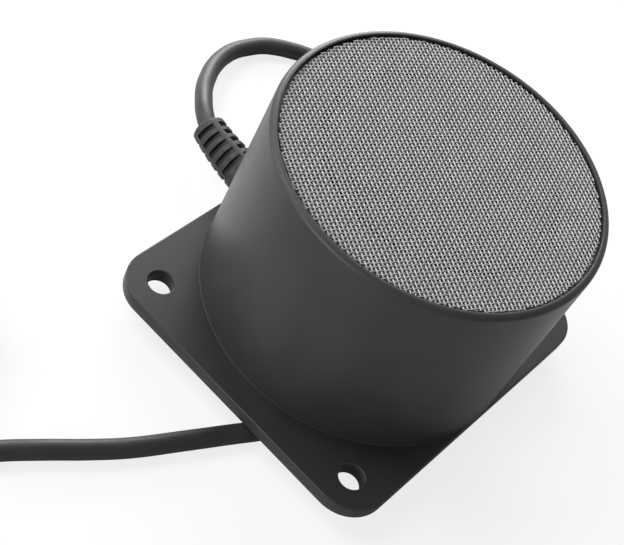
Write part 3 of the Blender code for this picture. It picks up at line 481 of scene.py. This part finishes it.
def flange_mesh(size):
    """The flange with its holes, the pads at its back and the fillet at the barrel's root."""
    x, y = size.hole_spacing_x / 2, size.hole_spacing_y / 2
    spots = [(-x, -y), (x, -y), (x, y), (-x, y)]
    front = FLANGE_BACK + size.flange_thickness
    holes = [circle(*spot, size.hole_radius) for spot in spots]
    outline = rounded_rectangle(size.flange_width, size.flange_length, size.corner_radius)
    loops = [outline, circle(0, 0, COVER_OPENING, 160), *holes]
    bodies = [plate_mesh("flange", loops, FLANGE_BACK, front, size.edge_radius)]
    for spot, hole in zip(spots, holes):
        bodies.append(plate_mesh("pad", [circle(*spot, PAD_RADIUS), hole],
                                 0.0, FLANGE_BACK + PAD_SUNK, PAD_EDGE))
    fillet = size.fillet_radius
    root, low = size.base_radius - FILLET_SUNK, front - FILLET_SUNK_BELOW
    curve = arc((root + fillet, front + fillet), fillet, 180, 270, 6)
    ring = turned_mesh("fillet", [*curve, (root + fillet, low), (root, low)], BARREL_STEPS)
    shape = bmesh.new()
    shape.from_mesh(ring)
    edge = size.flange_width / 2 - size.edge_radius
    for side in (-1, 1):
        bmesh.ops.bisect_plane(shape, geom=shape.verts[:] + shape.edges[:] + shape.faces[:],
                               plane_co=(side * edge, 0, 0), plane_no=(side, 0, 0),
                               clear_outer=True)
    shape.to_mesh(ring)
    shape.free()
    bodies.append(ring)
    return joined("flange", bodies)


class SENSOR_OT_housing(bpy.types.Operator):
    """Builds the moulded housing with its rim, flange, holes and seating pads"""
    bl_idname = "sensor.housing"
    bl_label = "Housing"

    def execute(self, context):
        size = context.scene.sensor_housing
        mesh = joined("housing_shell", [barrel_mesh(size), flange_mesh(size)])
        housing = place("housing_shell", mesh, finishes["housing_plastic"])
        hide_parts("housing")
        return {"FINISHED"}


# Screen

WIRE_SIDES = 5
WIRE_WANDER = 0.00003  # each way from its true place
WIRE_SHORT = 0.0004  # the most that a wire's ends stop short of the cloth's edge
CLOTH_EDGE = 0.0016  # width of the edge that is pressed down
CLOTH_EDGE_SUNK = 0.0001


def woven_wires(name, size, turn, phase, share):
    """Crimped wires side by side, over one cross wire and under the next, as one mesh."""
    pitch, radius, crimp = size.pitch, size.wire / 2, share * size.wire / 2
    count = int(size.radius / pitch)
    chance = np.random.default_rng(7 + phase)
    sides, corners, faces, first = WIRE_SIDES, [], [], 0
    ring = np.linspace(0, 2 * math.pi, sides, endpoint=False)
    for i in range(-count, count + 1):
        across = i * pitch
        reach = math.sqrt(max(size.radius ** 2 - across ** 2, 0.0))
        reach -= chance.uniform(0.0, WIRE_SHORT)
        if reach < pitch:
            continue
        steps = max(6, int(2 * reach / (pitch / 3)))
        along = np.linspace(-reach, reach, steps + 1)
        sign = 1 if (i + phase) % 2 else -1
        height = sign * crimp * np.cos(math.pi * along / pitch)
        slope = -sign * crimp * math.pi / pitch * np.sin(math.pi * along / pitch)
        outward = (np.hypot(along, across) - size.radius + CLOTH_EDGE) / CLOTH_EDGE
        height = height - CLOTH_EDGE_SUNK * np.clip(outward, 0, 1) ** 2
        tilt = np.arctan(slope)
        wander = across + chance.uniform(-WIRE_WANDER, WIRE_WANDER)
        for a, h, t in zip(along, height, tilt):
            for angle in ring:
                up = radius * math.sin(angle)
                corners.append((a - up * math.sin(t), wander + radius * math.cos(angle),
                                h + up * math.cos(t)))
        for s in range(steps):
            for k in range(sides):
                n = (k + 1) % sides
                a, b = first + s * sides, first + (s + 1) * sides
                faces.append((a + k, b + k, b + n, a + n))
        faces.append(tuple(first + k for k in range(sides)))
        faces.append(tuple(first + steps * sides + k for k in reversed(range(sides))))
        first += (steps + 1) * sides
    mesh = bpy.data.meshes.new(name)
    mesh.from_pydata(corners, [], faces)
    mesh.transform(Matrix.Translation((0, 0, size.middle)) @ Matrix.Rotation(turn, 4, "Z"))
    smooth(mesh, 50)
    return mesh


class SENSOR_OT_screen(bpy.types.Operator):
    """Weaves the wire cloth that covers the transducer"""
    bl_idname = "sensor.screen"
    bl_label = "Woven screen"

    def execute(self, context):
        size = context.scene.sensor_screen
        families = (("screen_warp", size.turn, 0, size.warp_crimp),
                    ("screen_weft", size.turn + math.pi / 2, 1, size.weft_crimp))
        for name, turn, phase, share in families:
            mesh = woven_wires(name, size, turn, phase, share)
            wires = place(name, mesh, finishes["steel_wire"])
            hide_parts("mesh_screen")
        return {"FINISHED"}


# Cable

REST = -0.00215  # height of the cable's middle where it lies on the table
RELIEF_ROOT = Vector((-0.0407, 0.0, 0.0077))
RELIEF_BEND = math.radians(16)
ROUTE = (
    (-0.06230, 0.00560, 0.00720), (-0.06620, 0.00960, 0.00600), (-0.06970, 0.01400, 0.00430),
    (-0.07330, 0.01990, 0.00220), (-0.07620, 0.02590, 0.00040), (-0.07810, 0.03250, -0.00100),
    (-0.07845, 0.03790, -0.00175), (-0.07760, 0.04250, REST), (-0.07610, 0.04650, REST),
    (-0.07370, 0.04990, REST), (-0.07040, 0.05320, REST), (-0.06740, 0.05560, REST),
    (-0.06050, 0.05920, REST), (-0.05260, 0.06060, REST), (-0.04420, 0.05950, REST),
    (-0.03600, 0.05560, REST), (-0.02650, 0.04850, REST), (-0.01350, 0.03700, REST),
    (-0.00100, 0.02350, REST), (0.00930, 0.00700, REST), (0.01480, -0.01100, REST),
    (0.01480, -0.02800, REST), (0.01060, -0.04050, REST), (0.00520, -0.05100, REST),
    (0.00010, -0.06070, REST), (-0.00550, -0.07110, REST), (-0.01060, -0.07880, REST),
    (-0.01650, -0.08690, REST), (-0.02200, -0.09490, REST), (-0.03090, -0.11110, REST),
)
CABLE_INSIDE_RELIEF = (0.0045, 0.0010)  # where the cable starts, back from the sleeve's tip

RELIEF_SIDES, RELIEF_ROWS = 48, 44
RELIEF_LIP = 0.0004  # by which the sleeve's two ends are narrower
SLOT_RINGS, SLOTS_IN_RING = 5, 4
SLOT_FIRST = 0.0026  # from the sleeve's tip
SLOT_PITCH = 0.00275
SLOT_DEPTH = 0.0016
SLOT_WIDTH = 0.00155
SLOT_WEB = 0.0013  # between the slots of a ring
SLOT_TURN = 50  # degrees about the sleeve's axis
SLOT_EDGE = 0.00016

COIL_CENTRE = Vector((-0.0701, -0.1082))
COIL_OUTER = 0.0357
COIL_COLUMNS, COIL_LAYERS = 4, 3  # turns side by side, and one above the other
COIL_ROOM = 0.0003  # between the turns and the tie, and beside the tail
COIL_START = -29  # degrees from +X, where the cable comes in
COIL_STEP = 12  # degrees from point to point
COIL_LEAD_IN = 72  # degrees in which the cable rises from the table
COIL_LEAD_IN_OUT = 0.0026  # wider than the turns at its start
COIL_MOVE_FROM, COIL_MOVE_FOR = 0.66, 0.34  # share of a turn that goes over to the next column
COIL_ROLL = 84  # degrees in which the last turn goes off the top
COIL_ROLL_OUT = 1.06  # of the cable's diameter
COIL_DROP_FROM, COIL_DROP_FOR = 60, 92  # degrees in which it goes down to the table
COIL_END = 144

TIE_THICKNESS = 0.0012
TIE_WIDTH = 0.0048
TIE_ROOM = 0.0002
TIE_EDGE = 0.0002
TIE_CORNER, TIE_INNER_CORNER = 0.0024, 0.0014
TIE_HEAD = (0.0062, 0.0034, 0.0064)
TIE_HEAD_EDGE = 0.0005
TIE_HEAD_ALONG = 0.22  # of the strap's width, from its middle
TIE_HEAD_UP = 0.0010
TIE_ANGLE = math.radians(60)

TAIL_LENGTH = 0.0350
TAIL_SHARES = (0.12, 0.35, 0.6, 0.8, 1.0)
LEAD_NAMES = ("brown_lead", "white_lead", "blue_lead", "black_lead")
LEAD_RADIUS = 0.0006
LEAD_HEIGHT = 0.0011  # above the table
LEAD_SPREAD = 0.00308  # from conductor to conductor
LEAD_KNOTS_CLOSE = (-0.001, 0.0033)  # along Y from the sheath's end, beside each other
LEAD_KNOT_BETWEEN = 0.0065
LEAD_KNOTS_APART = (0.0100, 0.0140, 0.0183)
FERRULE_AT = 0.0180
FERRULE = ((0.0012, 0.0004), (0.00075, 0.0022), (0.00075, 0.0083), (0.0004, 0.0085),
           (0.0004, 0.0), (0.0012, 0.0))


def eased(value):
    """The value held between 0 and 1, with a soft start and end."""
    value = min(max(value, 0), 1)
    return value * value * (3 - 2 * value)


def relief_axis(along, length_out):
    """Place and heading of the strain relief's bent axis."""
    turn = RELIEF_BEND * along / length_out
    radius = length_out / RELIEF_BEND
    spot = RELIEF_ROOT + Vector((-radius * math.sin(turn), radius * (1 - math.cos(turn)), 0))
    return spot, Matrix.Rotation(-turn, 4, "Z")


def coil_points(size):
    """The wound-up length: layers of four turns in and out, then off the top and down outside."""
    d = size.diameter
    low = TABLE + TIE_THICKNESS + COIL_ROOM + d / 2
    outer = COIL_OUTER - d / 2
    points = []

    def add(step, radius, height):
        """Adds the point that many degrees along the coil."""
        angle = math.radians(COIL_START - step)
        points.append(Vector((COIL_CENTRE.x + radius * math.cos(angle),
                              COIL_CENTRE.y + radius * math.sin(angle), height)))

    for step in range(0, size.turns * 360 + 1, COIL_STEP):
        whole = min(step // 360, size.turns - 1)
        ease = eased((step / 360 - whole - COIL_MOVE_FROM) / COIL_MOVE_FOR)
        layer, place_in = divmod(whole, COIL_COLUMNS)
        inward = layer % 2 == 0
        column = place_in if inward else COIL_COLUMNS - 1 - place_in
        climbs = place_in == COIL_COLUMNS - 1
        move = 0 if climbs or whole >= size.turns - 1 else (ease if inward else -ease)
        lead_in = eased(step / COIL_LEAD_IN)
        height = (low + (layer + (ease if climbs else 0)) * d) * lead_in + REST * (1 - lead_in)
        add(step, outer - (column + move) * d + COIL_LEAD_IN_OUT * (1 - lead_in), height)
    last, top = size.turns * 360, points[-1].z
    for step in range(COIL_STEP, COIL_END + 1, COIL_STEP):
        roll = eased(step / COIL_ROLL) * math.pi / 2
        drop = eased((step - COIL_DROP_FROM) / COIL_DROP_FOR)
        height = top - d * (1 - math.cos(roll))
        add(last + step, outer + d * COIL_ROLL_OUT * math.sin(roll),
            height * (1 - drop) + REST * drop)
    return points


def tail_points(size):
    """Straight along the table to the stripped end."""
    x = COIL_CENTRE.x - COIL_OUTER - COIL_ROOM - size.diameter / 2
    return [Vector((x, COIL_CENTRE.y + TAIL_LENGTH * share, REST)) for share in TAIL_SHARES]


def slot_blocks(size):
    """The blocks that cut the strain relief's slots, four in a ring."""
    shape = bmesh.new()
    for ring in range(SLOT_RINGS):
        along = size.relief_length - SLOT_FIRST - ring * SLOT_PITCH
        taper = size.relief_tip - size.relief_root
        radius = size.relief_root + taper * along / size.relief_length
        spot, turn = relief_axis(along, size.relief_length)
        block = Matrix.Diagonal((SLOT_WIDTH, 2 * SLOT_DEPTH,
                                 2 * (radius - SLOT_DEPTH) - SLOT_WEB / 2, 1))
        for side in range(SLOTS_IN_RING):
            roll = Matrix.Rotation(math.radians(SLOT_TURN + 90 * side), 4, "X")
            bmesh.ops.create_cube(shape, size=1.0, matrix=Matrix.Translation(spot) @ turn @ roll
                                  @ Matrix.Translation((0, radius, 0)) @ block)
    blocks = bpy.data.meshes.new("slots")
    shape.to_mesh(blocks)
    shape.free()
    return blocks


def relief_mesh(size):
    """The tapered sleeve, bent with the cable, with rings of four slots cut into it."""
    sides, rows, shape = RELIEF_SIDES, RELIEF_ROWS, bmesh.new()
    rings = []
    for row in range(rows + 1):
        along = size.relief_length * row / rows
        radius = size.relief_root + (size.relief_tip - size.relief_root) * row / rows
        if row in (0, rows):
            radius -= RELIEF_LIP
        spot, turn = relief_axis(along, size.relief_length)
        rings.append([shape.verts.new(spot + turn @ Vector((0, y, z)))
                      for y, z in circle(0, 0, radius, sides)])
    for a, b in zip(rings, rings[1:]):
        for k in range(sides):
            shape.faces.new((a[k], a[(k + 1) % sides], b[(k + 1) % sides], b[k]))
    shape.faces.new(rings[0])
    shape.faces.new(rings[-1])
    bmesh.ops.recalc_face_normals(shape, faces=shape.faces)
    sleeve = bpy.data.meshes.new("sleeve")
    shape.to_mesh(sleeve)
    shape.free()
    cutter = linked("slots", slot_blocks(size))
    blank = linked("sleeve", sleeve)
    slots = blank.modifiers.new("slots", "BOOLEAN")
    slots.operation, slots.object = "DIFFERENCE", cutter
    edges = blank.modifiers.new("edges", "BEVEL")
    edges.width, edges.segments, edges.limit_method = SLOT_EDGE, 2, "ANGLE"
    edges.angle_limit = math.radians(45)
    mesh = evaluated_mesh(blank)
    bpy.data.objects.remove(cutter, do_unlink=True)
    smooth(mesh, 50)
    return mesh


def tie_mesh(size):
    """A thin strap round the bundle with its locking head on top."""
    inner, outer, thick = COIL_OUTER - COIL_COLUMNS * size.diameter, COIL_OUTER, TIE_THICKNESS
    around = 2 * (TIE_ROOM + thick)
    width, height = outer - inner + around, COIL_LAYERS * size.diameter + around
    middle = (outer + inner) / 2
    loop = rounded_rectangle(width, height, TIE_CORNER, 6)
    hollow = rounded_rectangle(width - 2 * thick, height - 2 * thick, TIE_INNER_CORNER, 6)
    strap = plate_mesh("strap", [loop, hollow], -TIE_WIDTH / 2, TIE_WIDTH / 2, TIE_EDGE)
    shape = bmesh.new()
    shape.from_mesh(strap)
    head_at = Matrix.Translation((width * TIE_HEAD_ALONG, height / 2 + TIE_HEAD_UP, 0))
    head = bmesh.ops.create_cube(shape, size=1.0, matrix=head_at @ Matrix.Diagonal((*TIE_HEAD, 1)))
    edges = list({edge for corner in head["verts"] for edge in corner.link_edges})
    bmesh.ops.bevel(shape, geom=edges, offset=TIE_HEAD_EDGE, segments=2, affect="EDGES")
    shape.to_mesh(strap)
    shape.free()
    stand = (Matrix.Rotation(TIE_ANGLE, 4, "Z") @ Matrix.Translation((middle, 0, 0))
             @ Matrix.Rotation(math.pi / 2, 4, "X"))
    strap.transform(Matrix.Translation((*COIL_CENTRE, TABLE + height / 2)) @ stand)
    smooth(strap)
    return strap


class SENSOR_OT_cable(bpy.types.Operator):
    """Lays the cable with its strain relief, wound-up length, tie and stripped end"""
    bl_idname = "sensor.cable"
    bl_label = "Cable"

    def execute(self, context):
        size = context.scene.sensor_cable
        sheath = finishes["cable_sheath"]
        tip, turn = relief_axis(size.relief_length, size.relief_length)
        start = [tip + turn @ Vector((inside, 0, 0)) for inside in CABLE_INSIDE_RELIEF]
        line = start + [Vector(p) for p in ROUTE] + coil_points(size) + tail_points(size)
        cable = rod_curve("cable_run", line, size.diameter / 2, sheath, resolution=5, sides=8)
        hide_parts("cable", "cable_coil", "cable_tail")
        relief = place("relief_sleeve", relief_mesh(size), sheath)
        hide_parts("strain_relief")
        tie = place("coil_tie", tie_mesh(size), sheath)
        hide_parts("cable_tie")
        stripped_end(size, line[-1])
        return {"FINISHED"}


def stripped_end(size, end):
    """Four conductors that fan out of the sheath, each with a crimped ferrule."""
    pieces = []
    y, low = end.y, TABLE + LEAD_HEIGHT
    for number, name in enumerate(LEAD_NAMES):
        across = number - 1.5
        near, far = end.x + across * size.diameter / 4, end.x + across * LEAD_SPREAD
        points = [(near, y + knot, REST) for knot in LEAD_KNOTS_CLOSE]
        points += [((near + far) / 2, y + LEAD_KNOT_BETWEEN, REST * 0.75 + low * 0.25)]
        points += [(far, y + knot, low) for knot in LEAD_KNOTS_APART]
        lead = rod_curve(f"conductor_{number + 1}", points, LEAD_RADIUS, finishes[name],
                         resolution=6, sides=3)
        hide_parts(f"end_lead_{number + 1}")
        mesh = turned_mesh("ferrule", list(FERRULE), steps=20)
        mesh.transform(Matrix.Translation((far, y + FERRULE_AT, low))
                       @ Matrix.Rotation(-math.pi / 2, 4, "X"))
        ferrule = place(f"ferrule_{number + 1}", mesh, finishes["tinned_copper"])
        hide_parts(f"end_ferrule_{number + 1}")
        pieces += [lead, ferrule]
    return pieces


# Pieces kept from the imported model

class SENSOR_OT_packed_pieces(bpy.types.Operator):
    """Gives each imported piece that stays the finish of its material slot"""
    bl_idname = "sensor.packed_pieces"
    bl_label = "Packed pieces"

    def execute(self, context):
        for entry in frame["record"]["subparts"]:
            node = frame["nodes"][entry["node"]]
            if node.hide_render:
                continue
            node.data.materials.clear()
            node.data.materials.append(finishes[entry["material_slot"]])
        return {"FINISHED"}


# Stage

FLOOR_SIZE = 3.0
FLOOR_GLOW = 0.80  # share of white that the camera sees in place of the floor's own shade
SHADOW_GAP = 0.0001  # from the floor up to the cable
LAMP_SIZE = (0.5, 0.4)
LAMP_TARGET = (0, 0, 0.03)
LAMPS = (  # name, place, watts
    ("key", (-0.62, 0.60, 0.30), 10.0),
    ("left fill", (-0.80, -0.36, 0.18), 3.0),
    ("front fill", (-0.26, -0.84, 0.17), 6.0),
    ("left top", (-0.57, -0.14, 0.70), 6.0),
    ("top fill", (-0.24, 0.56, 0.69), 2.2),
)
FRAME_WIDTH = 36.0
CAMERA_SHIFT = (-0.0056, 0.0008)
CAMERA_PLACE = (0.066295, -0.236327, 0.280453)
CAMERA_TURN = (37.4116, -19.7264, 42.3902)  # degrees about X, Y and Z


def background_ray(tree):
    """1 for rays that show the background: from the camera, in gloss, or through glass."""
    path = tree.nodes.new("ShaderNodeLightPath")
    seen = math_node(tree, "MAXIMUM", path.outputs["Is Camera Ray"], path.outputs["Is Glossy Ray"])
    return math_node(tree, "MAXIMUM", seen, path.outputs["Is Transmission Ray"])


def floor_material(stage):
    """The pale floor, which glows towards the camera and still shows the shadow."""
    finish = bpy.data.materials.new("Pale floor")
    finish.use_nodes = True
    tree = finish.node_tree
    shader = tree.nodes["Principled BSDF"]
    shader.inputs["Base Color"].default_value = (*stage.floor, 1)
    shader.inputs["Roughness"].default_value = 0.9
    shader.inputs["Specular IOR Level"].default_value = 0.1
    glow = tree.nodes.new("ShaderNodeEmission")
    mix = tree.nodes.new("ShaderNodeMixShader")
    path = tree.nodes.new("ShaderNodeLightPath")
    seen = math_node(tree, "MULTIPLY", path.outputs["Is Camera Ray"], FLOOR_GLOW)
    tree.links.new(seen, mix.inputs[0])
    tree.links.new(shader.outputs[0], mix.inputs[1])
    tree.links.new(glow.outputs[0], mix.inputs[2])
    tree.links.new(mix.outputs[0], tree.nodes["Material Output"].inputs["Surface"])
    return finish


def area_light(name, spot, power):
    """A rectangular lamp that points at the sensor."""
    lamp = bpy.data.lights.new(name, "AREA")
    lamp.shape = "RECTANGLE"
    lamp.size, lamp.size_y = LAMP_SIZE
    lamp.energy = power
    holder = linked(name, lamp)
    holder.location = spot
    aim = Vector(LAMP_TARGET) - Vector(spot)
    holder.rotation_euler = aim.to_track_quat("-Z", "Y").to_euler()


def lay_floor(stage):
    """The floor, just under the cable."""
    ground = bmesh.new()
    bmesh.ops.create_grid(ground, x_segments=1, y_segments=1, size=FLOOR_SIZE)
    mesh = bpy.data.meshes.new("floor")
    ground.to_mesh(mesh)
    ground.free()
    mesh.materials.append(floor_material(stage))
    floor = linked("floor", mesh)
    floor.location = (0, 0, TABLE - SHADOW_GAP)


def studio_world(stage):
    """White where the background is seen, and a weak even light elsewhere."""
    world = bpy.data.worlds.new("Studio")
    world.use_nodes = True
    tree = world.node_tree
    strength = math_node(tree, "MULTIPLY", background_ray(tree), 1.0 - stage.ambient)
    strength = math_node(tree, "ADD", strength, stage.ambient)
    tree.nodes["Background"].inputs["Color"].default_value = (1, 1, 1, 1)
    tree.links.new(strength, tree.nodes["Background"].inputs["Strength"])
    return world


def camera_view(stage):
    """The camera as fitted to the photograph."""
    lens = bpy.data.cameras.new("view")
    lens.lens, lens.sensor_width = stage.lens, FRAME_WIDTH
    lens.shift_x, lens.shift_y = CAMERA_SHIFT
    camera = linked("view", lens)
    camera.location = CAMERA_PLACE
    camera.rotation_euler = tuple(math.radians(a) for a in CAMERA_TURN)
    return camera


class SENSOR_OT_stage(bpy.types.Operator):
    """Sets the pale floor, the soft studio light and the camera"""
    bl_idname = "sensor.stage"
    bl_label = "Stage"

    def execute(self, context):
        scene = context.scene
        stage = scene.sensor_stage
        scene.view_settings.view_transform = "Standard"
        lay_floor(stage)
        scene.world = studio_world(stage)
        for name, spot, power in LAMPS:
            area_light(name, spot, power)
        scene.camera = camera_view(stage)
        return {"FINISHED"}


class SENSOR_OT_finishes(bpy.types.Operator):
    """Makes the materials that the pieces share"""
    bl_idname = "sensor.finishes"
    bl_label = "Finishes"

    def execute(self, context):
        make_finishes(context.scene)
        return {"FINISHED"}


class SENSOR_PT_build(bpy.types.Panel):
    """Lists the sensor's settings and pieces"""
    bl_label = "Distance sensor"
    bl_idname = "SENSOR_PT_build"
    bl_space_type = "VIEW_3D"
    bl_region_type = "UI"
    bl_category = "Sensor"

    def draw(self, context):
        for group in ("sensor_housing", "sensor_screen", "sensor_cable", "sensor_stage"):
            box = self.layout.box()
            settings = getattr(context.scene, group)
            for name in settings.bl_rna.properties.keys()[1:]:
                box.prop(settings, name)
        for operator in OPERATORS:
            self.layout.operator(operator.bl_idname)


SETTINGS = (
    ("sensor_housing", HousingSettings), ("sensor_screen", ScreenSettings),
    ("sensor_cable", CableSettings), ("sensor_stage", StageSettings),
)
OPERATORS = (SENSOR_OT_finishes, SENSOR_OT_stage, SENSOR_OT_cable, SENSOR_OT_housing,
             SENSOR_OT_screen, SENSOR_OT_packed_pieces)


def register():
    """Adds the settings, operators and panel."""
    for name, group in SETTINGS:
        bpy.utils.register_class(group)
        setattr(bpy.types.Scene, name, PointerProperty(type=group))
    for operator in OPERATORS:
        bpy.utils.register_class(operator)
    bpy.utils.register_class(SENSOR_PT_build)


def unregister():
    """Takes them away again."""
    bpy.utils.unregister_class(SENSOR_PT_build)
    for operator in reversed(OPERATORS):
        bpy.utils.unregister_class(operator)
    for name, group in reversed(SETTINGS):
        delattr(bpy.types.Scene, name)
        bpy.utils.unregister_class(group)


def main():
    """Builds every piece in order."""
    register()
    bpy.ops.sensor.finishes()
    bpy.ops.sensor.stage()
    bpy.ops.sensor.cable()
    bpy.ops.sensor.housing()
    bpy.ops.sensor.screen()
    bpy.ops.sensor.packed_pieces()


if __name__ == "__main__":
    main()
